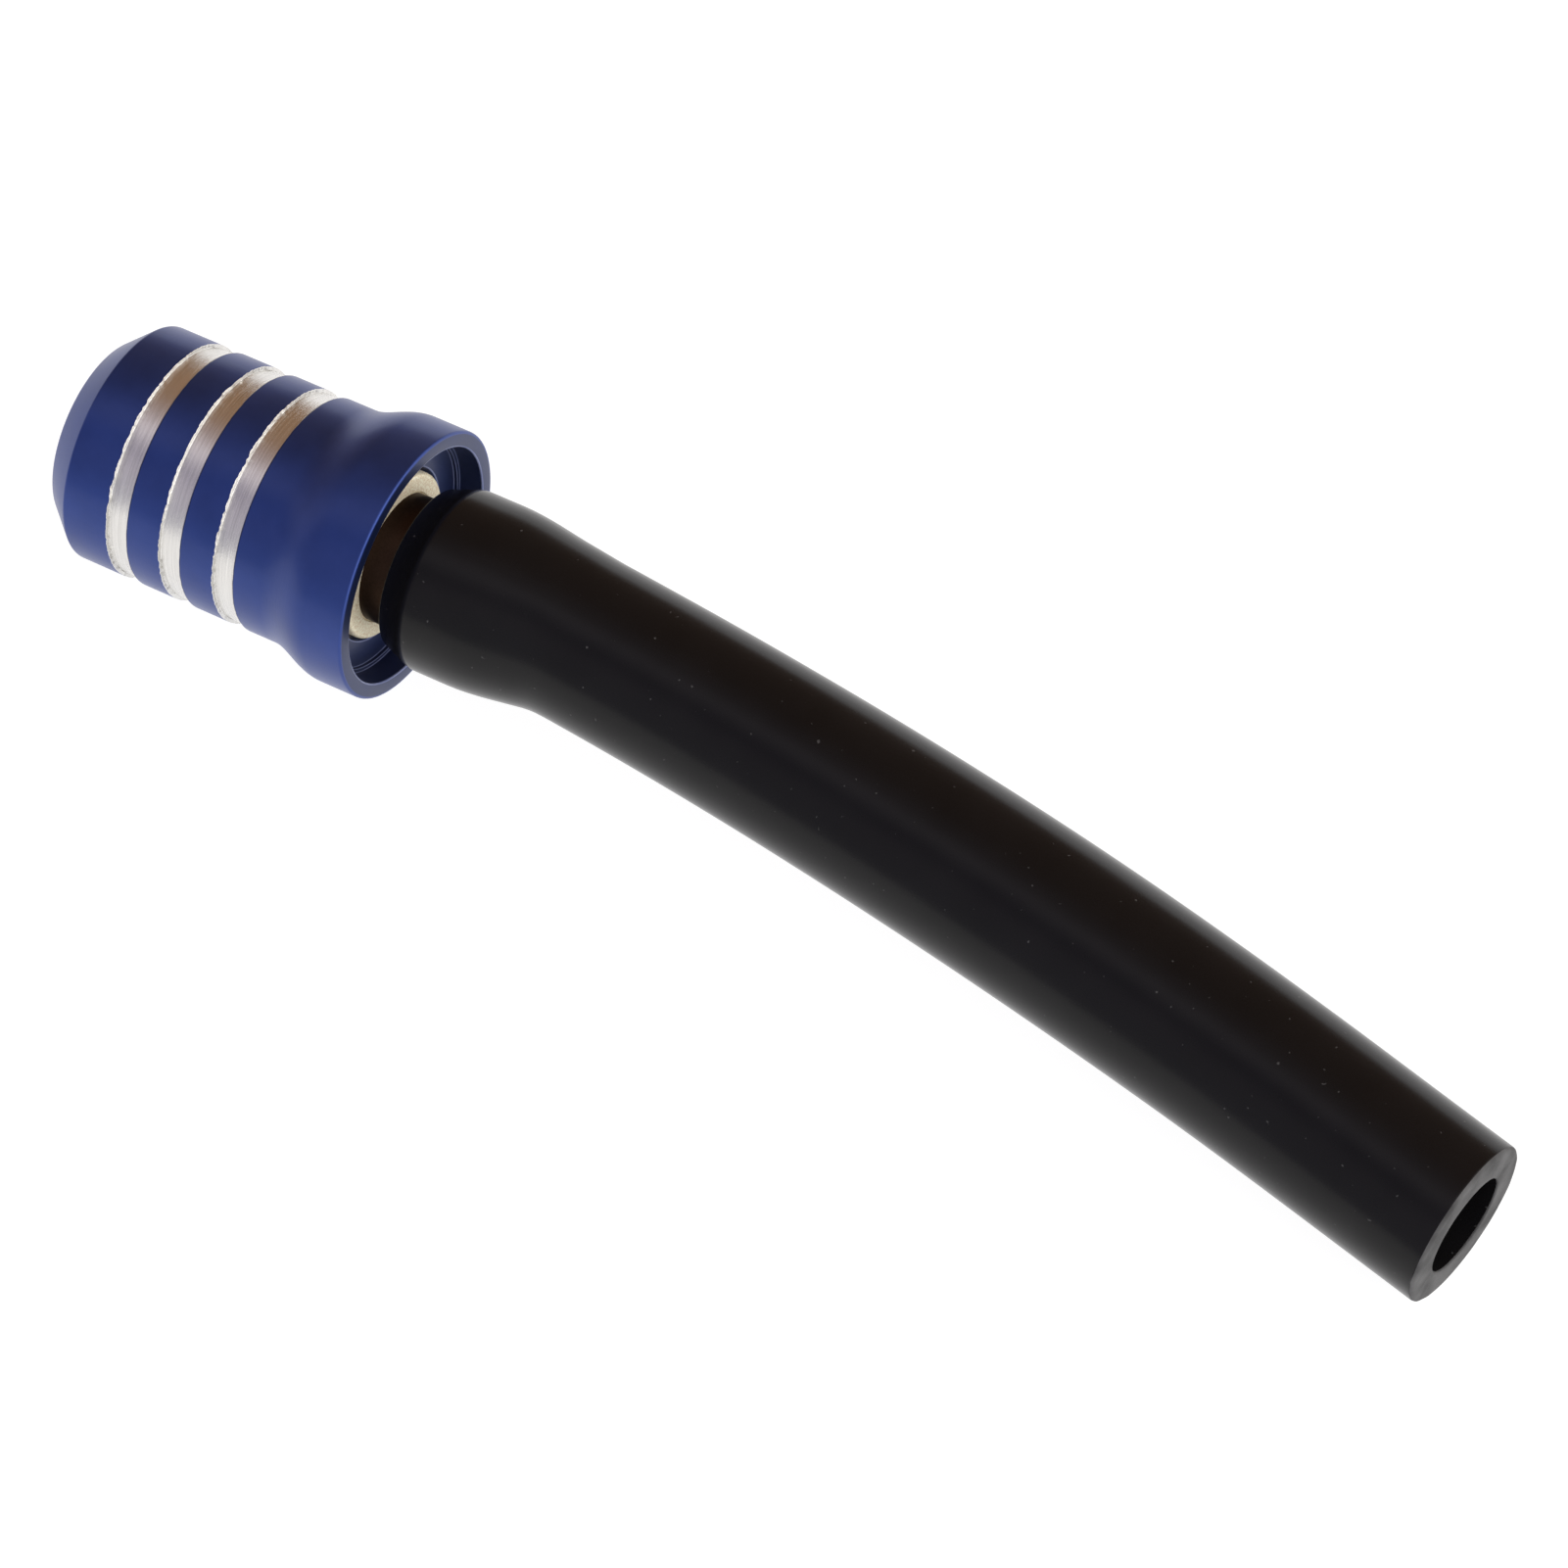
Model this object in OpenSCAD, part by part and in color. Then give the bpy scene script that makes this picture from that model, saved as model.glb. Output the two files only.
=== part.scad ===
// One-way vent valve for a fuel tank cap, with its short push-on hose.
// +X runs along the valve from the closed end to the hose, +Z is up.
// The bell and the cut end of the hose stand on Z = 0. All sizes are in millimetres.

/* [Shell] */
// Length of the shell from its closed end to the rim
shell_len = 21.4; // [21:0.1:23]
// Radius of the straight barrel
barrel_r = 7.3; // [7.1:0.1:7.7]
// Radius of the bell at the rim
bell_r = 8.3; // [8.1:0.1:9]
// Length of the chamfer round the closed end
nose_chamfer_len = 2; // [1:0.1:2.4]
// Depth of the chamfer across the closed end
nose_chamfer_depth = 1.8; // [1:0.1:2]
// Distance from the closed end to the start of the flare
flare_start = 15.3; // [15:0.1:15.8]
// Length of the flare between the barrel and the bell
flare_len = 3.6; // [3:0.1:4]
// Radius of the small break on the rim's edges
rim_break = 0.15; // [0.05:0.05:0.3]

/* [Grooves] */
// Number of bare metal grooves round the barrel
groove_count = 3; // [1:1:3]
// Distance from the closed end to the middle of the first groove
groove_first = 5.62; // [5:0.05:5.8]
// Distance between grooves
groove_pitch = 3.61; // [3:0.01:3.7]
// Width of a groove
groove_width = 1.36; // [0.8:0.02:1.6]
// Depth of a groove
groove_depth = 0.22; // [0.1:0.02:0.4]

/* [Bell mouth] */
// Radius of the mouth at the rim
mouth_r = 7.3; // [7.15:0.05:7.5]
// Depth of the mouth down to the ledge
mouth_depth = 1.55; // [1.2:0.05:1.7]
// Radius inside the ledge
ledge_r = 7.05; // [6.8:0.05:7.1]
// Depth of the mouth's floor
floor_depth = 1.8; // [1.75:0.05:2.2]
// Radius of the blind core bore that holds the brass body
core_r = 5.35; // [5.3:0.05:5.5]
// Thickness of the closed end
nose_wall = 2.6; // [2.4:0.1:4]

/* [Brass body] */
// Radius of the flange seen in the mouth
flange_r = 5.15; // [5:0.05:5.2]
// Thickness of the flange
flange_t = 1.5; // [1:0.1:2]
// How far the flange stands out of the mouth's floor
flange_proud = 0.4; // [0.2:0.05:0.8]
// Distance from the axis to each of the six flats of the collar
collar_flat = 4.75; // [4.65:0.01:4.8]
// Length of the collar behind the flange
collar_len = 10; // [9.8:0.1:10.4]
// Radius of the spigot that carries the hose
spigot_r = 3.95; // [3.8:0.05:4]
// Distance the spigot reaches into the hose
spigot_grip = 5.75; // [5.2:0.05:5.75]
// Length of the taper on the spigot's tip
spigot_tip = 0.8; // [0.4:0.1:1]
// Radius of the air passage through the spigot
passage_r = 1.9; // [1.5:0.05:1.95]
// Radius of the chamber round the ball
chamber_r = 2.9; // [2.8:0.05:3.1]

/* [Check valve] */
// Radius of the steel ball
ball_r = 2.38; // [2.3:0.01:2.4]
// Gap left between the closed ball and its seat ring
seat_gap = 0.05; // [0.03:0.01:0.1]
// Radius of the pressed-in seat insert
insert_r = 4; // [3.8:0.05:4.1]
// Thickness of the seat insert
insert_t = 2; // [1.8:0.1:2.2]
// Radius of the air orifice in the insert
orifice_r = 1.25; // [1:0.05:1.35]
// Radius of the seat ring, to the middle of its section
oring_r = 1.95; // [1.9:0.01:2]
// Radius of the seat ring's section
oring_section_r = 0.5; // [0.4:0.05:0.5]
// Radius of the spring, to the middle of its wire
spring_r = 1.95; // [1.9:0.01:2.1]
// Radius of the spring's wire
wire_r = 0.17; // [0.12:0.01:0.2]
// Number of turns in the spring
spring_turns = 4; // [3:1:5]

/* [Hose] */
// Outer radius of the hose
hose_r = 5; // [4.9:0.05:5.2]
// Radius of the hose's bore
hose_bore_r = 3; // [2.8:0.05:3.2]
// Outer radius where the hose is stretched over the spigot
sleeve_r = 5.55; // [5.4:0.05:5.7]
// Gap between the shell's rim and the start of the hose
hose_gap = 0.45; // [0.3:0.05:0.9]
// Length of the bevel at the start of the hose
start_bevel_len = 1.8; // [0.5:0.1:2]
// Depth of the bevel at the start of the hose
start_bevel_depth = 0.65; // [0.1:0.05:0.7]
// Length of the straight stretch over the spigot
sleeve_len = 5.9; // [5.8:0.1:6.6]
// Length of the neck where the hose narrows to its own size
neck_len = 2.5; // [2:0.1:5]
// Angle of the short turn behind the neck
neck_angle = 5; // [3:0.1:6]
// Radius of that turn, to the middle of the hose
neck_turn_r = 22; // [20:1:40]
// Angle of the hose's long bend
long_angle = 7.8; // [7:0.1:9]
// Radius of the long bend, to the middle of the hose
long_turn_r = 379; // [300:1:400]
// Length of the straight stretch at the free end
free_len = 10; // [8:0.5:14]

/* [Hidden] */
$fn = 96;
cut = 0.5; // how far cutting shapes reach past the faces they open

// Stations along X, with the valve's length centred on the origin
valve_len = shell_len + hose_gap + spigot_grip;
nose_x = -valve_len / 2;
rim_x = nose_x + shell_len;
floor_x = rim_x - floor_depth;
flange_face_x = floor_x + flange_proud;
collar_end_x = flange_face_x - flange_t;
collar_start_x = collar_end_x - collar_len;
core_end_x = nose_x + nose_wall;
hose_x = rim_x + hose_gap;
spigot_end_x = hose_x + spigot_grip;

// Check valve stations along X
insert_face_x = collar_start_x + insert_t;
oring_x = insert_face_x - oring_section_r;
oring_pocket_r = oring_r + oring_section_r;
ball_x = oring_x + sqrt(pow(ball_r + oring_section_r, 2) - pow(oring_r, 2)) + seat_gap;
chamber_end_x = collar_end_x - 0.6;
spring_gap = 0.04; // clearance at each end of the spring
spring_start_x = ball_x + sqrt(pow(ball_r + wire_r + spring_gap, 2) - pow(spring_r, 2));
spring_end_x = chamber_end_x - wire_r - spring_gap;

// The hose's stretches in order: length, angle, radius of turn, and how much slimmer the
// stretch is. A turn laps into its neighbours and is a hair slimmer, so no faces coincide.
lap = 0.04;
STRETCHES = [
    [sleeve_len + neck_len, 0, 0, 0],
    [0, neck_angle, neck_turn_r, 0.01],
    [0, long_angle, long_turn_r, 0.02],
    [free_len, 0, 0, 0]
];
LAST = len(STRETCHES) - 1;

// Direction of the hose after its first n stretches, and its reach by then along its
// starting direction and sideways
function turned(n) = n == 0 ? 0 : turned(n - 1) + STRETCHES[n - 1][1];
function forward(n) = n == 0 ? 0 :
    forward(n - 1) + STRETCHES[n - 1][0] * cos(turned(n - 1))
    + STRETCHES[n - 1][2] * (sin(turned(n)) - sin(turned(n - 1)));
function sideways(n) = n == 0 ? 0 :
    sideways(n - 1) + STRETCHES[n - 1][0] * sin(turned(n - 1))
    + STRETCHES[n - 1][2] * (cos(turned(n - 1)) - cos(turned(n)));

// Sine of the angle that the bend leans down by, so that the cut end touches Z = 0
function lean_sine(guess, steps) = steps == 0 ? guess :
    lean_sine((bell_r - hose_r * sqrt(1 - pow(sin(turned(LAST)) * guess, 2))) / sideways(LAST + 1), steps - 1);
lean = asin(lean_sine(0.3, 5));

// Puts a shape made along +Z from its own origin onto the valve's axis at station x
module on_axis(x) {
    translate([x, 0, bell_r]) rotate([0, 90, 0]) children();
}

module rod(x0, x1, r) {
    on_axis(x0) cylinder(r = r, h = x1 - x0);
}

module cone(x0, x1, r0, r1) {
    on_axis(x0) cylinder(r1 = r0, r2 = r1, h = x1 - x0);
}

// Half of an S curve from radius r0 at x0 to r1 at x1, as points of an outline
function s_curve(x0, x1, r0, r1, steps) = [
    for (i = [0:steps]) [r0 + (r1 - r0) * (1 - cos(180 * i / steps)) / 2, x0 + (x1 - x0) * i / steps]
];

// Outline of the shell's outside, as [radius, distance from the closed end]
SHELL_OUTLINE = concat(
    [[0, 0], [barrel_r - nose_chamfer_depth, 0], [barrel_r, nose_chamfer_len]],
    s_curve(flare_start, flare_start + flare_len, barrel_r, bell_r, 12),
    [[bell_r, shell_len - rim_break], [bell_r - rim_break, shell_len], [0, shell_len]]
);

module groove(middle_x) {
    on_axis(middle_x - groove_width / 2) difference() {
        cylinder(r = barrel_r + cut, h = groove_width);
        translate([0, 0, -cut]) cylinder(r = barrel_r - groove_depth, h = groove_width + 2 * cut);
    }
}

module cap_shell() {
    color("midnightblue") difference() {
        on_axis(nose_x) rotate_extrude() polygon(SHELL_OUTLINE);
        rod(rim_x - mouth_depth, rim_x + cut, mouth_r);
        rod(floor_x, rim_x - mouth_depth + 0.1, ledge_r);
        rod(core_end_x, floor_x + 0.1, core_r);
        for (i = [0:groove_count - 1]) groove(nose_x + groove_first + i * groove_pitch);
    }
}

// Collar turned from hexagon bar: six narrow lands fit the core bore, six flats let air past
module collar() {
    intersection() {
        rod(collar_start_x, collar_end_x, core_r);
        on_axis(collar_start_x) cylinder(r = collar_flat / cos(30), h = collar_len, $fn = 6);
    }
}

module valve_body() {
    color("goldenrod") difference() {
        union() {
            collar();
            rod(collar_end_x, flange_face_x, flange_r);
            rod(flange_face_x, spigot_end_x - spigot_tip, spigot_r);
            cone(spigot_end_x - spigot_tip, spigot_end_x, spigot_r, spigot_r - spigot_tip / 2);
        }
        rod(collar_start_x - cut, insert_face_x, insert_r);
        rod(insert_face_x - 0.1, chamber_end_x, chamber_r);
        rod(chamber_end_x - 0.1, spigot_end_x + cut, passage_r);
    }
}

module seat_insert() {
    color("darkgoldenrod") difference() {
        rod(collar_start_x, insert_face_x, insert_r);
        rod(collar_start_x - cut, insert_face_x, orifice_r);
        rod(insert_face_x - 2 * oring_section_r, insert_face_x + cut, oring_pocket_r);
    }
}

module seat_oring() {
    color("dimgray") on_axis(oring_x) rotate_extrude()
        translate([oring_r, 0]) circle(r = oring_section_r - 0.01, $fn = 32);
}

module check_ball() {
    color("silver") translate([ball_x, 0, bell_r]) sphere(r = ball_r);
}

// Points of the spring: rings of the wire's section set along a helix, then the two ends
SPRING_SIDES = 8;
SPRING_STEPS = 20; // rings in each turn
SPRING_RINGS = spring_turns * SPRING_STEPS;
spring_rise = (spring_end_x - spring_start_x) / SPRING_RINGS;
function spring_point(ring, side) =
    let (a = 360 * ring / SPRING_STEPS, b = 360 * side / SPRING_SIDES, r = spring_r + wire_r * cos(b))
    [r * cos(a), r * sin(a), ring * spring_rise + wire_r * sin(b)];

module return_spring() {
    points = [for (ring = [0:SPRING_RINGS], side = [0:SPRING_SIDES - 1]) spring_point(ring, side)];
    sides = [for (ring = [0:SPRING_RINGS - 1], side = [0:SPRING_SIDES - 1])
        let (next = (side + 1) % SPRING_SIDES, low = ring * SPRING_SIDES, high = low + SPRING_SIDES)
        [low + side, low + next, high + next, high + side]];
    first = [for (side = [0:SPRING_SIDES - 1]) SPRING_SIDES - 1 - side];
    last = [for (side = [0:SPRING_SIDES - 1]) SPRING_RINGS * SPRING_SIDES + side];
    color("lightsteelblue") on_axis(spring_start_x)
        polyhedron(points = points, faces = concat([first], sides, [last]), convexity = 8);
}

// Outlines of the hose's start, as [radius, distance from its end]: outside and bore
START_OUTSIDE = [
    [0, 0], [sleeve_r - start_bevel_depth, 0], [sleeve_r, start_bevel_len],
    [sleeve_r, sleeve_len], [hose_r, sleeve_len + neck_len], [0, sleeve_len + neck_len]
];
START_BORE = [
    [0, -cut], [spigot_r, -cut], [spigot_r, sleeve_len],
    [hose_bore_r, sleeve_len + neck_len], [0, sleeve_len + neck_len]
];

// Round bar that turns towards -Y from the +X direction, lapping past both its ends
module turn(angle, turn_r, r) {
    lap_angle = lap / turn_r * 180 / PI;
    translate([0, -turn_r, 0]) rotate([0, 0, 90 - angle - lap_angle])
        rotate_extrude(angle = angle + 2 * lap_angle, $fn = 720)
            translate([turn_r, 0]) circle(r = r, $fn = 96);
}

// Solid bar along the hose's route, from its start's outline and with radius r after that
module route(start, r, overrun) {
    rotate([0, 90, 0]) rotate_extrude() polygon(start);
    for (n = [1:LAST])
        translate([forward(n), -sideways(n), 0]) rotate([0, 0, -turned(n)])
            if (n < LAST) turn(STRETCHES[n][1], STRETCHES[n][2], r - STRETCHES[n][3]);
            else rotate([0, 90, 0]) cylinder(r = r, h = free_len + overrun);
}

module hose() {
    color("#1c1a1a") translate([hose_x, 0, bell_r]) rotate([lean, 0, 0]) difference() {
        route(START_OUTSIDE, hose_r, 0);
        route(START_BORE, hose_bore_r, cut);
    }
}

cap_shell();
valve_body();
seat_insert();
seat_oring();
check_ball();
return_spring();
hose();
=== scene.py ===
import math

import bmesh
import bpy
from mathutils import Matrix, Vector, noise


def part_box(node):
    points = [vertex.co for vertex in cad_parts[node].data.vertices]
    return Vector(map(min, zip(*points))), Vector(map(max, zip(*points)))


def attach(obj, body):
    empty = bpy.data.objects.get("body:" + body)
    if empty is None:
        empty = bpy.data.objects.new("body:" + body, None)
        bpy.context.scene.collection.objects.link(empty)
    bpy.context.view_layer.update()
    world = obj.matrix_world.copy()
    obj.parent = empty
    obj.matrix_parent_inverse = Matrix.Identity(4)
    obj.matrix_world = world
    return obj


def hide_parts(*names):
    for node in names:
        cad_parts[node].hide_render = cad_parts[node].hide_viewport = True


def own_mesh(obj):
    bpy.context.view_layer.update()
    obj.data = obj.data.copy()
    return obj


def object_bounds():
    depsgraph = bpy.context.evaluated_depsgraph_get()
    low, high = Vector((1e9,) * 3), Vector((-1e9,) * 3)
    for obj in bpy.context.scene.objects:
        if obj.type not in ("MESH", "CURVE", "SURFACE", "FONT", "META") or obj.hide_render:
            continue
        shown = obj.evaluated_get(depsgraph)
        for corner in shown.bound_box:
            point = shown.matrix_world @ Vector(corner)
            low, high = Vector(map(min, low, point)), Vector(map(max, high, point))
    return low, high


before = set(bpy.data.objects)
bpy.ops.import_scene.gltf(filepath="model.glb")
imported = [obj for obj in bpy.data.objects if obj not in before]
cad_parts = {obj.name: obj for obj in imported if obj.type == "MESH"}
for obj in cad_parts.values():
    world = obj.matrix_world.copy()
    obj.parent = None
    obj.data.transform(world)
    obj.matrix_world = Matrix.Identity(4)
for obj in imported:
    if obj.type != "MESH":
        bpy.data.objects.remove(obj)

MM = 0.001
CAD_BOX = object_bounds()

# ---------------------------------------------------------------- sizes taken from the frame
SHELL_LOW, SHELL_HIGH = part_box("cap_shell")
BODY_LOW, BODY_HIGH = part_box("valve_body")
SPRING_LOW, SPRING_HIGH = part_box("return_spring")
NOSE_X, RIM_X = SHELL_LOW.x, SHELL_HIGH.x
BELL_R = (SHELL_HIGH.z - SHELL_LOW.z) / 2
AXIS_Z = (SHELL_HIGH.z + SHELL_LOW.z) / 2
HOSE_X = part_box("hose")[0].x

# ---------------------------------------------------------------- the shell's sizes, in metres
BARREL_R = 7.3 * MM
NOSE_R = 5.5 * MM
NOSE_CHAMFER = 2.0 * MM
NOSE_ROUND = 0.25 * MM
CHAMFER_ROUND = 0.10 * MM
FLARE_START = 15.3 * MM
FLARE_LENGTH = 3.6 * MM
FLARE_STEPS = 24
RIM_ROUND = 0.18 * MM
MOUTH_R = 7.3 * MM
MOUTH_ROUND = 0.10 * MM
MOUTH_DEPTH = 1.55 * MM
LEDGE_R = 7.05 * MM
FLOOR_DEPTH = 1.8 * MM
CORE_R = 5.35 * MM
NOSE_WALL = 2.6 * MM
SOFT_ROUND = 0.12 * MM
CRISP_ROUND = 0.04 * MM
SHELL_SEGMENTS = 360

GROOVE_COUNT = 3
GROOVE_FIRST = 5.62  # millimetres from the closed end to the first groove's middle
GROOVE_PITCH = 3.61  # millimetres
GROOVE_MIDDLES = [(GROOVE_FIRST + GROOVE_PITCH * i) * MM for i in range(GROOVE_COUNT)]
GROOVE_WIDTH = 1.36 * MM
GROOVE_DEPTH = 0.22 * MM
GROOVE_WALLS = [(NOSE_X + m - GROOVE_WIDTH / 2, NOSE_X + m + GROOVE_WIDTH / 2) for m in GROOVE_MIDDLES]
LEFT_WALL_SLOPE = 0.02 * MM
RIGHT_WALL_SLOPE = 0.05 * MM
RIGHT_EDGE_ROUND = 0.09 * MM

# How far the cutter's marks on the grooves' edges go, and how fine they are
EDGE_BAND = 0.12 * MM
EDGE_SHARE = 0.9  # of the groove's depth
LEFT_RAG = 0.07 * MM
RIGHT_RAG = 0.02 * MM
RAG_SCALE = 9
RAG_GROOVE_STEP = 900  # gives each groove marks of its own
LEFT_FINER = 5
RIGHT_FINER = 2

# ---------------------------------------------------------------- the brass body's sizes
FLANGE_R = 5.15 * MM
FLANGE_THICK = 1.5 * MM
FLANGE_PROUD = 0.4 * MM
FLANGE_ROUND = 0.32 * MM
COLLAR_FLAT = 4.75 * MM
COLLAR_ROUND = 0.3 * MM
SPIGOT_R = 3.95 * MM
SPIGOT_TIP = 0.8 * MM
SPIGOT_FOOT = 0.10 * MM
SPIGOT_FOOT_MIDDLE = 0.04 * MM
BODY_ROUND = 0.1 * MM
PASSAGE_R = 1.9 * MM
CHAMBER_R = 2.9 * MM
CHAMBER_WALL = 0.6 * MM
INSERT_R = 4.0 * MM
INSERT_THICK = 2.0 * MM
INSERT_ROUND = 0.05 * MM
BODY_SEGMENTS = 240

# ---------------------------------------------------------------- the spring's sizes
SPRING_R = 1.95 * MM
WIRE_R = 0.17 * MM
SPRING_TURNS = 4
RINGS_PER_TURN = 36
WIRE_SIDES = 12

# ---------------------------------------------------------------- the hose's sizes
# Its route: stretches as (length, angle in degrees, radius of the turn), bending towards -Y and
# leaning down about the valve's axis
HOSE_BORE_R = 3.0 * MM
HOSE_STRETCHES = [(8.4 * MM, 0, 0), (0, 5.0, 22 * MM), (0, 7.8, 379 * MM), (10 * MM, 0, 0)]
HOSE_LENGTH = sum(length + radius * math.radians(angle) for length, angle, radius in HOSE_STRETCHES)
HOSE_LEAN = 18.808
HOSE_STATIONS = 36

# Its outside radius: a swollen sleeve over the spigot, a waist behind it, then nearly even
HOSE_PROFILE = [
    (4.1 * MM, 5.58 * MM), (10.9 * MM, 4.93 * MM), (42.7 * MM, 5.06 * MM), (HOSE_LENGTH, 4.96 * MM)]
SLEEVE_LENGTH = 5.9 * MM
NECK_END = 8.4 * MM
START_R = 4.9 * MM
START_BEVEL = 1.8 * MM
START_ROUND = 0.10 * MM
BEVEL_ROUND = 0.45 * MM
CUT_ROUND = 0.45 * MM
LIP_ROUND = 0.12 * MM
HOSE_SIDES = 160
HOSE_STEP = 0.6 * MM
BORE_STEPS = 40
NECK_STEPS = 8
HOSE_CORNER_STEPS = 8

# Its unevenness, as shares of the radius, and the slightly slanted cut at its free end
WAVE_DEPTH = 0.0016
WAVE_ALONG = 130
WAVE_AROUND = 1.3
BURR_DEPTH = 0.016
BURR_AROUND = 5
BURR_SEED = 7
BURR_SHARE = 0.1
CUT_BAND = 0.2 * MM
CUT_SKEW = math.tan(math.radians(3))
SKEW_RUN = 6 * MM

# ---------------------------------------------------------------- camera, floor and light
CAMERA_AZIMUTH = 35.80
CAMERA_ELEVATION = 57.84
CAMERA_ROLL = 7.83
CAMERA_DISTANCE = 366 * MM
CAMERA_LENS = 148.65
CAMERA_CLIP_START = 0.01
SENSOR_WIDTH = 36
AIM_OFFSET = Vector((-0.63, 1.37, -3.2)) * MM  # from the middle of the CAD box

FLOOR_HALF = 3.0

# The studio's boards, from the front (-Y) to the back (+Y), and the light on the +X side
BOARDS = [
    (0.0, (0.48, 0.48, 0.55)), (0.16, (0.52, 0.48, 0.56)), (0.28, (0.28, 0.26, 0.34)),
    (0.42, (0.80, 0.73, 0.80)), (0.54, (0.42, 0.34, 0.34)), (0.70, (0.30, 0.185, 0.12)),
    (0.85, (0.31, 0.185, 0.11)), (1.0, (0.29, 0.18, 0.115))]
SIDE_LIGHT = (2.4, 2.35, 2.3, 1)
SIDE_LIGHT_STARTS = 0.3
SIDE_LIGHT_FULL = 0.75

# ---------------------------------------------------------------- mesh and node settings
SMOOTH_ANGLE = 40
WELD_DISTANCE = 1e-6
CORNER_REACH = 0.49  # the longest rounding, as a share of the way to the next corner
MIX_FACTOR, MIX_LOW, MIX_HIGH, MIX_RESULT = 0, 6, 7, 2  # a colour mix node's sockets


def add_camera():
    middle = (Vector(CAD_BOX[0]) + Vector(CAD_BOX[1])) / 2
    azimuth, elevation = math.radians(CAMERA_AZIMUTH), math.radians(CAMERA_ELEVATION)
    level = Vector((math.cos(azimuth), math.sin(azimuth), 0))
    back = Vector((
        math.sin(azimuth) * math.cos(elevation),
        -math.cos(azimuth) * math.cos(elevation),
        math.sin(elevation)))
    upright = back.cross(level)
    roll = math.radians(CAMERA_ROLL)
    right = level * math.cos(roll) - upright * math.sin(roll)
    up = back.cross(right)
    data = bpy.data.cameras.new("camera")
    data.lens = CAMERA_LENS
    data.sensor_width = SENSOR_WIDTH
    data.clip_start = CAMERA_CLIP_START
    camera = bpy.data.objects.new("camera", data)
    bpy.context.scene.collection.objects.link(camera)
    place = middle + AIM_OFFSET + back * CAMERA_DISTANCE
    camera.matrix_world = Matrix.Translation(place) @ Matrix((right, up, back)).transposed().to_4x4()
    bpy.context.scene.camera = camera


# ---------------------------------------------------------------- shape helpers
def ease(t):
    """A smooth step from 0 to 1."""
    t = min(max(t, 0), 1)
    return (1 - math.cos(math.pi * t)) / 2


def between(s, start, end, low, high):
    """A smooth change from low to high as s goes from start to end."""
    return low + (high - low) * ease((s - start) / (end - start))


def rounded(corners, steps=5):
    """An outline through corners (x, r, rounding), with each corner cut back by its rounding and
    replaced by a smooth curve. Returns (x, r, index of the corner) for every point."""
    points = []
    count = len(corners)
    for i, (x, r, cut) in enumerate(corners):
        if cut <= 0:
            points.append((x, r, i))
            continue
        here = Vector((x, r))
        before = Vector(corners[i - 1][:2]) - here
        after = Vector(corners[(i + 1) % count][:2]) - here
        start = here + before.normalized() * min(cut, before.length * CORNER_REACH)
        end = here + after.normalized() * min(cut, after.length * CORNER_REACH)
        for k in range(steps + 1):
            t = k / steps
            p = start * (1 - t) ** 2 + here * 2 * t * (1 - t) + end * t * t
            points.append((p.x, p.y, i))
    return points


def new_mesh(name, points, faces, materials, face_materials):
    mesh = bpy.data.meshes.new(name)
    mesh.from_pydata(points, [], faces)
    for material in materials:
        mesh.materials.append(material)
    mesh.polygons.foreach_set("material_index", face_materials)
    mesh.shade_smooth()
    mesh.set_sharp_from_angle(angle=math.radians(SMOOTH_ANGLE))
    mesh.validate()
    piece = bpy.data.objects.new(name, mesh)
    bpy.context.scene.collection.objects.link(piece)
    weld(piece)
    return piece


def weld(piece):
    """Merges the points that coincide, as at the poles of a turned shape, and fixes the normals."""
    bm = bmesh.new()
    bm.from_mesh(piece.data)
    bmesh.ops.remove_doubles(bm, verts=bm.verts, dist=WELD_DISTANCE)
    bmesh.ops.dissolve_degenerate(bm, edges=bm.edges, dist=WELD_DISTANCE / 10)
    bmesh.ops.recalc_face_normals(bm, faces=bm.faces)
    bm.to_mesh(piece.data)
    bm.free()


def lathe(name, outline, materials, material_of, segments, shape):
    """Turns a closed outline of (x, r, corner) about the valve's axis. shape(x, r, angle) moves a
    point, and material_of(point, following) picks the material between two of the outline's points."""
    points, faces, face_materials = [], [], []
    for x, r, _ in outline:
        for k in range(segments):
            angle = 2 * math.pi * k / segments
            px, pr = shape(x, r, angle)
            points.append((px, pr * math.cos(angle), AXIS_Z + pr * math.sin(angle)))
    rows = len(outline)
    for i in range(rows):
        j = (i + 1) % rows
        if outline[i][1] == 0 and outline[j][1] == 0:
            continue
        index = material_of(outline[i], outline[j])
        for k in range(segments):
            n = (k + 1) % segments
            faces.append((i * segments + k, i * segments + n, j * segments + n, j * segments + k))
            face_materials.append(index)
    return new_mesh(name, points, faces, materials, face_materials)


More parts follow.
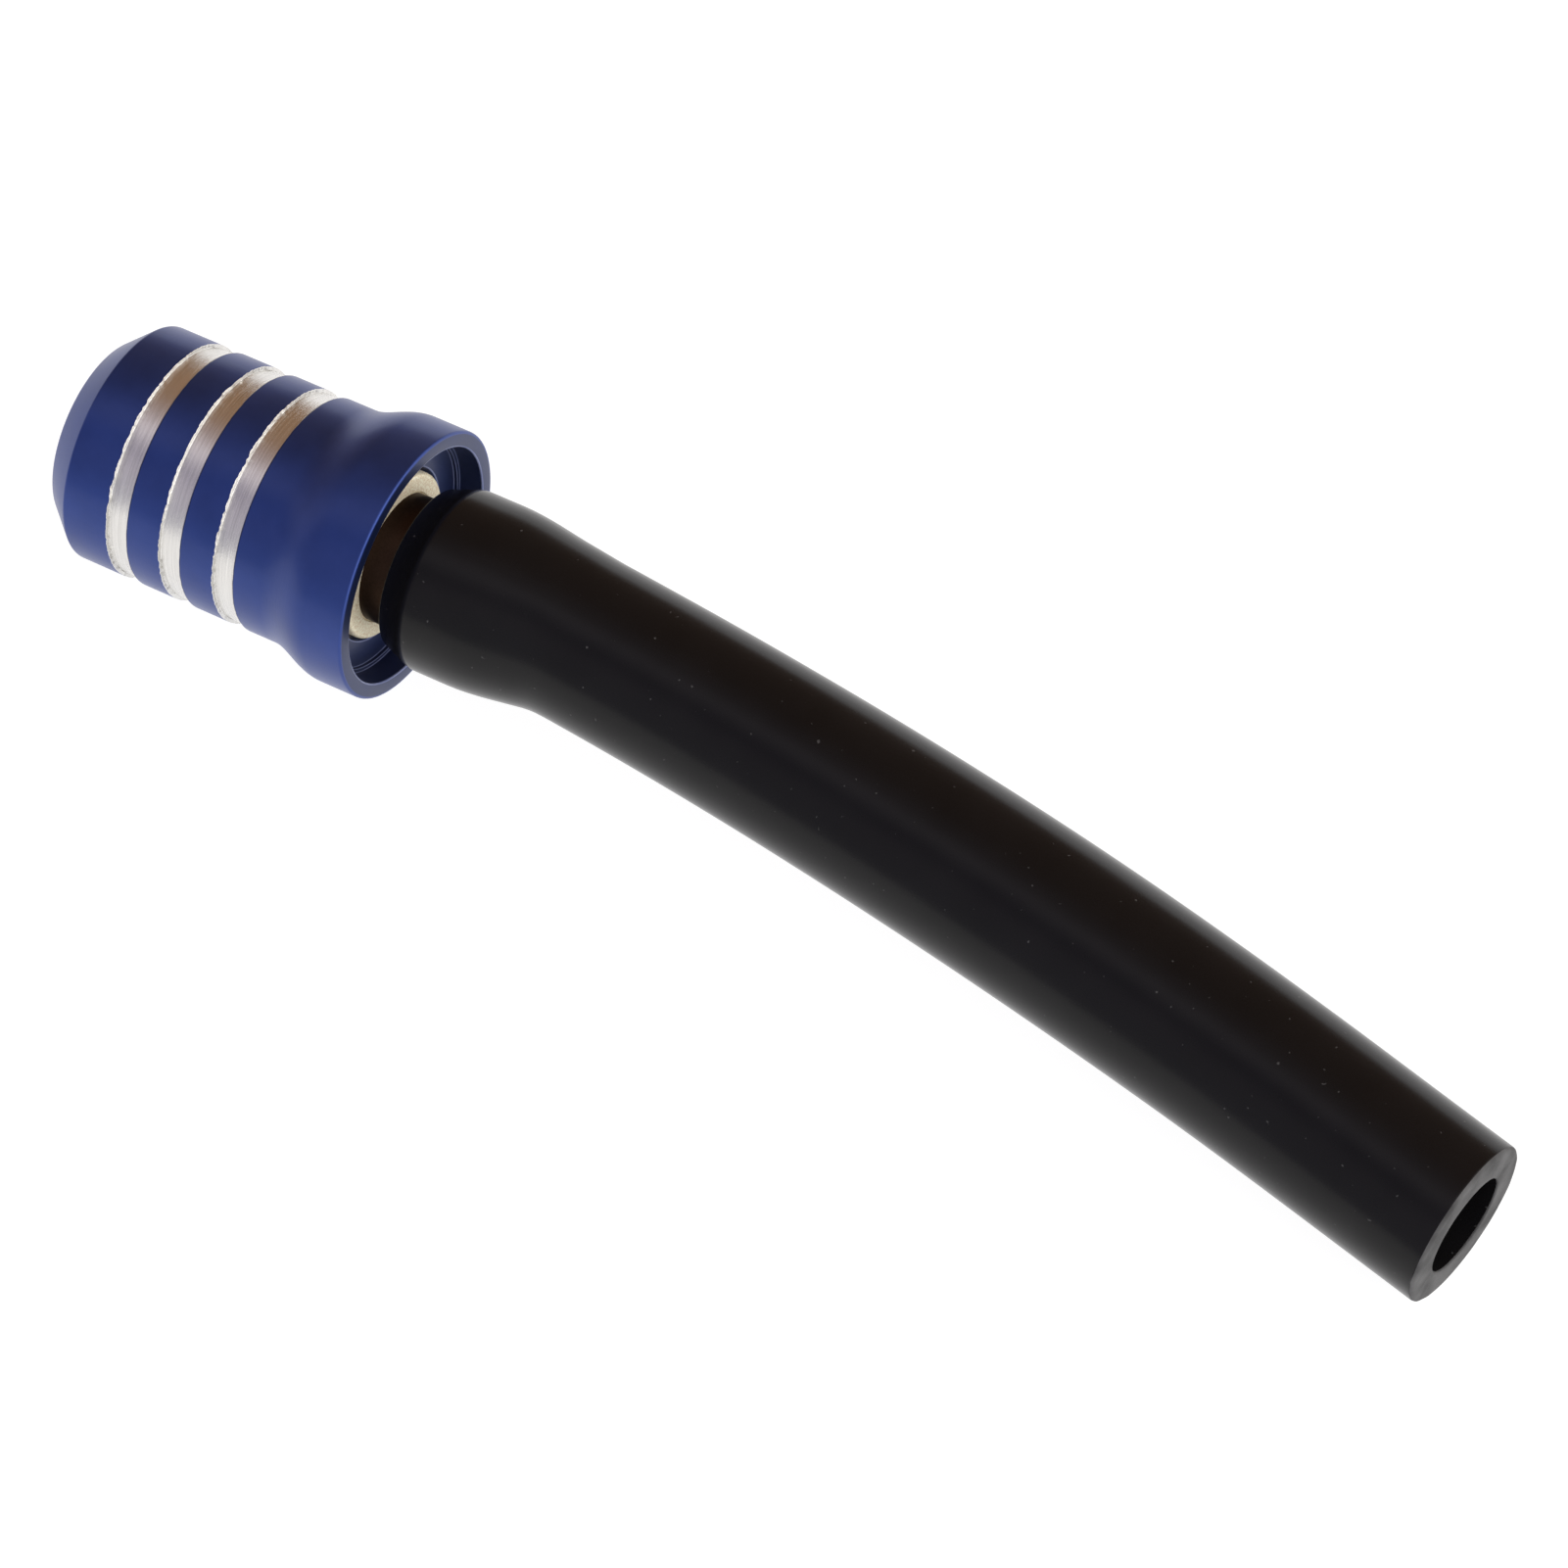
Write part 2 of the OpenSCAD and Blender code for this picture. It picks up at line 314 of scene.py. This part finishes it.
# ---------------------------------------------------------------- material helpers
class Nodes:
    """Builds a node tree with short calls."""

    def __init__(self, tree):
        self.tree = tree
        self.coords = self.add("ShaderNodeTexCoord")

    def add(self, kind, inputs=None, **settings):
        node = self.tree.nodes.new(kind)
        for key, value in settings.items():
            setattr(node, key, value)
        for key, value in (inputs or {}).items():
            self.put(node.inputs[key], value)
        return node

    def put(self, socket, value):
        if isinstance(value, bpy.types.NodeSocket):
            self.tree.links.new(value, socket)
        else:
            socket.default_value = value

    def stretched(self, scale):
        """Object coordinates in metres, scaled along X, Y and Z."""
        node = self.add("ShaderNodeMapping", {"Vector": self.coords.outputs["Object"], "Scale": scale})
        return node.outputs["Vector"]

    def noise(self, scale, detail=3, roughness=0.5, vector=None):
        vector = self.coords.outputs["Object"] if vector is None else vector
        node = self.add("ShaderNodeTexNoise", {
            "Vector": vector, "Scale": scale, "Detail": detail, "Roughness": roughness})
        return node.outputs["Fac"]

    def ramp(self, fac, stops):
        node = self.add("ShaderNodeValToRGB", {"Fac": fac})
        elements = node.color_ramp.elements
        elements[0].position, elements[0].color = stops[0][0], (*stops[0][1], 1)
        elements[1].position, elements[1].color = stops[-1][0], (*stops[-1][1], 1)
        for position, color in stops[1:-1]:
            elements.new(position).color = (*color, 1)
        return node.outputs["Color"]

    def span(self, value, low, high):
        """Maps a 0 to 1 value to the range low to high."""
        node = self.add("ShaderNodeMapRange", {"Value": value, "To Min": low, "To Max": high})
        return node.outputs["Result"]

    def share(self, value, start, end):
        """How far a value has gone from start to end, as 0 to 1."""
        node = self.add("ShaderNodeMapRange", {"Value": value, "From Min": start, "From Max": end})
        return node.outputs["Result"]

    def mix(self, fac, low, high):
        """Blends two colours by a 0 to 1 value."""
        node = self.add("ShaderNodeMix", {MIX_FACTOR: fac, MIX_LOW: low, MIX_HIGH: high}, data_type="RGBA")
        return node.outputs[MIX_RESULT]

    def bump(self, height, strength, distance, normal=None):
        node = self.add("ShaderNodeBump", {"Height": height, "Strength": strength, "Distance": distance})
        if normal is not None:
            self.put(node.inputs["Normal"], normal)
        return node.outputs["Normal"]


class Finish(Nodes):
    """A material and its node tree."""

    def __init__(self, name):
        self.material = bpy.data.materials.new(name)
        self.material.use_nodes = True
        super().__init__(self.material.node_tree)
        self.shader = self.tree.nodes["Principled BSDF"]

    def set(self, **values):
        """Sets the shader's sockets. Underscores stand for spaces in their names."""
        for key, value in values.items():
            self.put(self.shader.inputs[key.replace("_", " ")], value)
        return self.material


def grey(value):
    return (value, value, value)


def anodised(name, dark, light):
    n = Finish(name)
    marks = n.noise(1, detail=3, roughness=0.6, vector=n.stretched((9000, 260, 260)))
    blotches = n.noise(420, detail=4)
    color = n.ramp(blotches, [(0.3, dark), (0.7, light)])
    normal = n.bump(marks, strength=0.16, distance=0.00003)
    normal = n.bump(n.noise(14000, detail=2), strength=0.10, distance=0.00002, normal=normal)
    return n.set(Base_Color=color, Metallic=0.95, Roughness=n.span(blotches, 0.45, 0.53), Normal=normal,
                 Coat_Weight=0.38, Coat_Roughness=0.22, Coat_IOR=1.5)


def bare_aluminium():
    n = Finish("bare_aluminium")
    marks = n.noise(1, detail=4, roughness=0.7, vector=n.stretched((18000, 160, 160)))
    streaks = n.noise(1, detail=4, roughness=0.7, vector=n.stretched((9000, 130, 130)))
    color = n.ramp(streaks, [(0.25, (0.60, 0.59, 0.57)), (0.75, (0.84, 0.83, 0.80))])
    return n.set(Base_Color=color, Metallic=1.0, Roughness=n.span(streaks, 0.18, 0.30),
                 Normal=n.bump(marks, strength=0.5, distance=0.00004))


def brass(name, dark, light, grain, roughness, metallic=1.0):
    n = Finish(name)
    speckle = n.noise(8500, detail=4, roughness=0.7)
    color = n.ramp(speckle, [(0.35, dark), (0.6, light)])
    return n.set(Base_Color=color, Metallic=metallic, Roughness=n.span(speckle, roughness, roughness + 0.15),
                 Normal=n.bump(speckle, strength=grain, distance=0.00005))


def flange_brass():
    return brass("brass_flange", (0.72, 0.55, 0.33), (1.0, 0.96, 0.76), grain=0.6, roughness=0.42,
                 metallic=0.35)


# Near-black brown brass for the spigot: painted reflection of the black hose and painted shade beside it;
# the flange keeps the light brass.
def neck_brass_painted_shade():
    return brass("brass_neck_painted_shade", (0.046, 0.027, 0.017), (0.058, 0.034, 0.022), grain=0.06, roughness=0.28)


def insert_brass():
    return brass("brass_insert", (0.62, 0.44, 0.20), (0.86, 0.71, 0.42), grain=0.15, roughness=0.25)


def hose_rubber():
    n = Finish("hose_rubber")
    drawn = n.noise(1, detail=3, vector=n.stretched((60, 1500, 1500)))
    black = n.ramp(n.noise(300, detail=4), [
        (0.3, (0.0048, 0.0046, 0.0050)), (0.7, (0.0064, 0.0061, 0.0066))])
    dust = n.ramp(n.noise(3600, detail=0), [(0.83, grey(0)), (0.89, grey(1))])
    color = n.mix(dust, black, (0.06, 0.06, 0.06, 1))
    normal = n.bump(drawn, strength=0.10, distance=0.00004)
    normal = n.bump(n.noise(9000), strength=0.08, distance=0.00002, normal=normal)
    return n.set(Base_Color=color, Roughness=n.span(drawn, 0.20, 0.27), Specular_IOR_Level=0.20,
                 Normal=normal)


def cut_rubber():
    n = Finish("cut_rubber")
    grain = n.noise(7000, detail=5, roughness=0.7)
    worn = n.ramp(n.noise(500), [(0.35, grey(0.03)), (0.65, grey(0.10))])
    color = n.mix(n.span(grain, 0, 0.4), worn, (0.05, 0.05, 0.055, 1))
    return n.set(Base_Color=color, Roughness=0.75, Specular_IOR_Level=0.45,
                 Normal=n.bump(grain, strength=0.4, distance=0.00005))


def seal_rubber():
    n = Finish("seal_rubber")
    grain = n.noise(9000)
    color = n.ramp(grain, [(0.3, grey(0.012)), (0.7, grey(0.022))])
    return n.set(Base_Color=color, Roughness=0.55, Normal=n.bump(grain, strength=0.2, distance=0.00002))


def steel(name, base, roughness):
    n = Finish(name)
    haze = n.noise(2500, detail=4)
    color = n.ramp(haze, [(0.3, grey(base * 0.92)), (0.7, grey(base))])
    return n.set(Base_Color=color, Metallic=1.0, Roughness=n.span(haze, roughness, roughness + 0.08),
                 Normal=n.bump(haze, strength=0.05, distance=0.00001))


def floor_white():
    n = Finish("floor_white")
    return n.set(Base_Color=(0.25, 0.25, 0.25, 1), Roughness=0.9, Specular_IOR_Level=0.0,
                 Emission_Color=(1, 1, 1, 1), Emission_Strength=0.92)


# ---------------------------------------------------------------- hose
def hose_frame(s):
    """The point, direction and inward normal of the hose's middle line at distance s."""
    along, side, turned, left = 0.0, 0.0, 0.0, s
    for i, (length, angle, radius) in enumerate(HOSE_STRETCHES):
        arc = length if angle == 0 else radius * math.radians(angle)
        step = left if i == len(HOSE_STRETCHES) - 1 else min(left, arc)
        if angle == 0:
            along += step * math.cos(turned)
            side += step * math.sin(turned)
        else:
            end = turned + step / radius
            along += radius * (math.sin(end) - math.sin(turned))
            side += radius * (math.cos(turned) - math.cos(end))
            turned = end
        left -= step
        if left <= 0:
            break
    lean = math.radians(HOSE_LEAN)
    inward = Vector((0, -math.cos(lean), -math.sin(lean)))
    ahead = Vector((1, 0, 0))
    point = Vector((HOSE_X, 0, AXIS_Z)) + ahead * along + inward * side
    direction = ahead * math.cos(turned) + inward * math.sin(turned)
    normal = inward * math.cos(turned) - ahead * math.sin(turned)
    return point, direction, normal


def hose_outer(s):
    """The outside radius at distance s."""
    for (start, low), (end, high) in zip(HOSE_PROFILE, HOSE_PROFILE[1:]):
        if s < end:
            return between(s, start, end, low, high)
    return HOSE_PROFILE[-1][1]


def hose_outline():
    """The closed outline as (distance along the route, radius, corner), and the index of the corner
    where the outside meets the cut."""
    corners = [
        (0, SPIGOT_R, START_ROUND), (0, START_R, START_ROUND), (START_BEVEL, hose_outer(0), BEVEL_ROUND)]
    outside_steps = int((HOSE_LENGTH - START_BEVEL) / HOSE_STEP)
    for k in range(1, outside_steps):
        s = START_BEVEL + (HOSE_LENGTH - START_BEVEL) * k / outside_steps
        corners.append((s, hose_outer(s), 0))
    cut_corner = len(corners)
    corners += [
        (HOSE_LENGTH, hose_outer(HOSE_LENGTH), CUT_ROUND),
        (HOSE_LENGTH, HOSE_BORE_R, LIP_ROUND)]
    for k in range(1, BORE_STEPS):
        corners.append((HOSE_LENGTH + (NECK_END - HOSE_LENGTH) * k / BORE_STEPS, HOSE_BORE_R, 0))
    for k in range(NECK_STEPS + 1):
        t = k / NECK_STEPS
        s = NECK_END + (SLEEVE_LENGTH - NECK_END) * k / NECK_STEPS
        corners.append((s, HOSE_BORE_R + (SPIGOT_R - HOSE_BORE_R) * ease(t), 0))
    return rounded(corners, HOSE_CORNER_STEPS), cut_corner


def hose_wave(s, angle, has_burr):
    """What the radius is multiplied by, for a moulded wall and for the burr of the cut."""
    across, up = math.cos(angle), math.sin(angle)
    wave = 1 + WAVE_DEPTH * noise.noise(Vector((s * WAVE_ALONG, across * WAVE_AROUND, up * WAVE_AROUND)))
    if has_burr:
        burr = noise.noise(Vector((BURR_SEED, across * BURR_AROUND, up * BURR_AROUND)))
        wave += BURR_DEPTH * max(0, burr + BURR_SHARE)
    return wave


def make_hose():
    outline, cut_corner = hose_outline()
    cut_start = HOSE_LENGTH - CUT_BAND
    points, faces, face_materials = [], [], []
    for s, r, corner in outline:
        centre, ahead, normal = hose_frame(s)
        across = ahead.cross(normal)
        skew = ease((s - (HOSE_LENGTH - SKEW_RUN)) / SKEW_RUN) * CUT_SKEW
        has_burr = corner == cut_corner and s > cut_start
        for k in range(HOSE_SIDES):
            angle = 2 * math.pi * k / HOSE_SIDES
            offset = normal * math.cos(angle) + across * math.sin(angle)
            p = centre + offset * r * hose_wave(s, angle, has_burr) + ahead * (skew * r * math.cos(angle))
            points.append(p[:])
    rows = len(outline)
    for i in range(rows):
        j = (i + 1) % rows
        on_cut = outline[i][0] > cut_start and outline[j][0] > cut_start
        for k in range(HOSE_SIDES):
            n = (k + 1) % HOSE_SIDES
            faces.append((i * HOSE_SIDES + k, j * HOSE_SIDES + k, j * HOSE_SIDES + n, i * HOSE_SIDES + n))
            face_materials.append(int(on_cut))
    hose = new_mesh("hose_tube", points, faces, [hose_rubber(), cut_rubber()], face_materials)
    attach(hose, "valve")
    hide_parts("hose")
    path = [hose_frame(HOSE_LENGTH * k / HOSE_STATIONS)[0] for k in range(HOSE_STATIONS + 1)]


# ---------------------------------------------------------------- cap shell
def shell_corners():
    """The shell's closed outline as corners (x, radius, rounding)."""
    groove_floor_r = BARREL_R - GROOVE_DEPTH
    floor_x = RIM_X - FLOOR_DEPTH
    ledge_x = RIM_X - MOUTH_DEPTH
    core_x = NOSE_X + NOSE_WALL
    corners = [
        (NOSE_X, 0, 0), (NOSE_X, NOSE_R, NOSE_ROUND), (NOSE_X + NOSE_CHAMFER, BARREL_R, CHAMFER_ROUND)]
    for left, right in GROOVE_WALLS:
        corners += [
            (left, BARREL_R, CRISP_ROUND), (left + LEFT_WALL_SLOPE, groove_floor_r, CRISP_ROUND),
            (right - RIGHT_WALL_SLOPE, groove_floor_r, CRISP_ROUND), (right, BARREL_R, RIGHT_EDGE_ROUND)]
    for k in range(FLARE_STEPS + 1):
        t = k / FLARE_STEPS
        corners.append((
            NOSE_X + FLARE_START + FLARE_LENGTH * t, BARREL_R + (BELL_R - BARREL_R) * ease(t), 0))
    corners += [
        (RIM_X, BELL_R, RIM_ROUND), (RIM_X, MOUTH_R, MOUTH_ROUND),
        (ledge_x, MOUTH_R, CRISP_ROUND), (ledge_x, LEDGE_R, CRISP_ROUND),
        (floor_x, LEDGE_R, CRISP_ROUND), (floor_x, CORE_R, SOFT_ROUND),
        (core_x, CORE_R, 0), (core_x, 0, 0)]
    return corners


def ragged(x, r, angle):
    """Leaves the grooves' edges slightly uneven, as the cutter did."""
    shift = 0
    if r > BARREL_R - EDGE_SHARE * GROOVE_DEPTH:
        for left, right in GROOVE_WALLS:
            around = Vector((
                math.cos(angle) * RAG_SCALE, math.sin(angle) * RAG_SCALE, left * RAG_GROOVE_STEP))
            if abs(x - left) < EDGE_BAND:
                shift = LEFT_RAG * (noise.noise(around) + noise.noise(around * LEFT_FINER))
            elif abs(x - right) < EDGE_BAND:
                shift = RIGHT_RAG * noise.noise(around * RIGHT_FINER)
    return x + shift, r


def make_shell():
    # Material slots: the third is a darker copy of the blue finish (painted shade), the fourth a lighter
    # copy (painted highlight on edges).
    outside, in_groove, painted_shade_slot, painted_highlight_slot = range(4)
    near, small, hair, speck = 0.1 * MM, 0.02 * MM, 0.002 * MM, 0.001 * MM

    def material_of(point, following):
        x, r = (point[0] + following[0]) / 2, (point[1] + following[1]) / 2
        on_corner = point[2] == following[2]
        # Inside the mouth a darker copy of the blue finish is painted shade, standing in for the recess's
        # shade and the black hose it reflects.
        if r < MOUTH_R + near and x > RIM_X - FLOOR_DEPTH - small:
            # The mouth's edge corners take a lighter copy of the blue: a painted highlight where the small
            # chamfers catch the light.
            return painted_highlight_slot if on_corner else painted_shade_slot
        # The grooves' right edges take the same darker copy as a painted shade line, and the rim's face
        # takes it as painted shade too.
        on_right_edge = on_corner and any(abs(x - right) < near for _, right in GROOVE_WALLS)
        if x > RIM_X - speck or on_right_edge:
            return painted_shade_slot
        over_groove = any(left - small < x < right + small for left, right in GROOVE_WALLS)
        if over_groove and BARREL_R - 2 * GROOVE_DEPTH < r < BARREL_R - hair:
            return in_groove
        return outside

    materials = [
        anodised("anodised_blue", (0.022, 0.050, 0.220), (0.028, 0.060, 0.256)),
        bare_aluminium(),
        # Darker copy of the blue: painted shade for the mouth, the rim's face and the grooves' right edges.
        anodised("anodised_painted_shade", (0.014, 0.026, 0.095), (0.018, 0.032, 0.115)),
        # Lighter copy of the blue: a painted highlight along the mouth's edges.
        anodised("anodised_painted_highlight", (0.06, 0.09, 0.26), (0.22, 0.25, 0.42))]
    shell = lathe("shell_turned", rounded(shell_corners()), materials, material_of, SHELL_SEGMENTS, ragged)
    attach(shell, "valve")
    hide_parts("cap_shell")


# ---------------------------------------------------------------- brass body
def make_body():
    start, tip = BODY_LOW.x, BODY_HIGH.x
    flange_face = RIM_X - FLOOR_DEPTH + FLANGE_PROUD
    collar_end = flange_face - FLANGE_THICK
    chamber_end = collar_end - CHAMBER_WALL
    insert_end = start + INSERT_THICK
    hair = 1e-7
    corners = [
        (start, INSERT_R, INSERT_ROUND), (start, CORE_R, COLLAR_ROUND),
        (collar_end, CORE_R, 0), (collar_end, FLANGE_R, 0),
        (flange_face, FLANGE_R, FLANGE_ROUND), (flange_face, SPIGOT_R + SPIGOT_FOOT, 0),
        (flange_face - SPIGOT_FOOT, SPIGOT_R + SPIGOT_FOOT_MIDDLE, 0),
        (flange_face - SPIGOT_FOOT_MIDDLE, SPIGOT_R, 0),
        (tip - SPIGOT_TIP, SPIGOT_R, BODY_ROUND), (tip, SPIGOT_R - SPIGOT_TIP / 2, BODY_ROUND),
        (tip, PASSAGE_R, BODY_ROUND), (chamber_end, PASSAGE_R, BODY_ROUND),
        (chamber_end, CHAMBER_R, BODY_ROUND), (insert_end, CHAMBER_R, 0), (insert_end, INSERT_R, 0)]

    def hexagon(x, r, angle):
        """Cuts six flats on the collar's inner end, running out towards the flange."""
        if x > collar_end - hair or r < FLANGE_R:
            return x, r
        within = (angle + math.pi / 6) % (math.pi / 3) - math.pi / 6
        return x, min(r, COLLAR_FLAT / math.cos(within))

    # The spigot past the flange takes the dark brass copy: painted reflection and painted shade.
    def material_of(point, following):
        past_flange = max(point[0], following[0]) > flange_face + BODY_ROUND
        return int(past_flange and max(point[1], following[1]) < SPIGOT_R + BODY_ROUND)

    body = lathe("body_turned", rounded(corners), [flange_brass(), neck_brass_painted_shade()], material_of,
                 BODY_SEGMENTS, hexagon)
    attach(body, "valve")
    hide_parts("valve_body")


# ---------------------------------------------------------------- spring and the inner nodes
def make_spring():
    start, end = SPRING_LOW.x + WIRE_R, SPRING_HIGH.x - WIRE_R
    rings = SPRING_TURNS * RINGS_PER_TURN
    ahead = Vector((1, 0, 0))
    points, faces = [], []
    for ring in range(rings + 1):
        turn = 2 * math.pi * ring / RINGS_PER_TURN
        out = Vector((0, math.cos(turn), math.sin(turn)))
        centre = Vector((start + (end - start) * ring / rings, 0, AXIS_Z)) + out * SPRING_R
        for k in range(WIRE_SIDES):
            angle = 2 * math.pi * k / WIRE_SIDES
            points.append((centre + (out * math.cos(angle) + ahead * math.sin(angle)) * WIRE_R)[:])
    for ring in range(rings):
        low, high = ring * WIRE_SIDES, (ring + 1) * WIRE_SIDES
        for k in range(WIRE_SIDES):
            n = (k + 1) % WIRE_SIDES
            faces.append((low + k, low + n, high + n, high + k))
    faces.append(tuple(range(WIRE_SIDES - 1, -1, -1)))
    faces.append(tuple(rings * WIRE_SIDES + k for k in range(WIRE_SIDES)))
    spring = new_mesh("spring_coil", points, faces, [steel("spring_steel", 0.55, 0.25)], [0] * len(faces))
    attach(spring, "valve")
    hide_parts("return_spring")
    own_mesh(spring)


def dress(node, material):
    """Gives a CAD node its finished material."""
    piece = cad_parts[node]
    piece.data.materials.clear()
    piece.data.materials.append(material)


# ---------------------------------------------------------------- floor and light
def make_floor():
    mesh = bpy.data.meshes.new("floor")
    corners = [(-FLOOR_HALF, -FLOOR_HALF, 0), (FLOOR_HALF, -FLOOR_HALF, 0),
               (FLOOR_HALF, FLOOR_HALF, 0), (-FLOOR_HALF, FLOOR_HALF, 0)]
    mesh.from_pydata(corners, [], [(0, 1, 2, 3)])
    mesh.materials.append(floor_white())
    floor = bpy.data.objects.new("floor", mesh)
    bpy.context.scene.collection.objects.link(floor)


def make_world():
    """A soft studio: boards from cool in front to warm behind, and a bright light on the +X side.
    The camera itself sees plain white."""
    world = bpy.data.worlds.new("studio")
    bpy.context.scene.world = world
    world.use_nodes = True
    world.node_tree.nodes.clear()
    n = Nodes(world.node_tree)
    split = n.add("ShaderNodeSeparateXYZ", {"Vector": n.coords.outputs["Generated"]})
    boards = n.ramp(n.share(split.outputs["Y"], -1, 1), BOARDS)
    at_side = n.share(split.outputs["X"], SIDE_LIGHT_STARTS, SIDE_LIGHT_FULL)
    light = n.add("ShaderNodeBackground", {"Color": n.mix(at_side, boards, SIDE_LIGHT)})
    white = n.add("ShaderNodeBackground", {"Color": (1, 1, 1, 1)})
    path = n.add("ShaderNodeLightPath")
    choice = n.add("ShaderNodeMixShader", {
        0: path.outputs["Is Camera Ray"], 1: light.outputs[0], 2: white.outputs[0]})
    n.add("ShaderNodeOutputWorld", {"Surface": choice.outputs[0]})


# ---------------------------------------------------------------- the scene
add_camera()
make_hose()
make_shell()
make_body()
make_spring()
dress("seat_insert", insert_brass())
dress("seat_oring", seal_rubber())
dress("check_ball", steel("ball_steel", 0.7, 0.05))
make_floor()
make_world()
bpy.context.scene.view_settings.view_transform = "Standard"
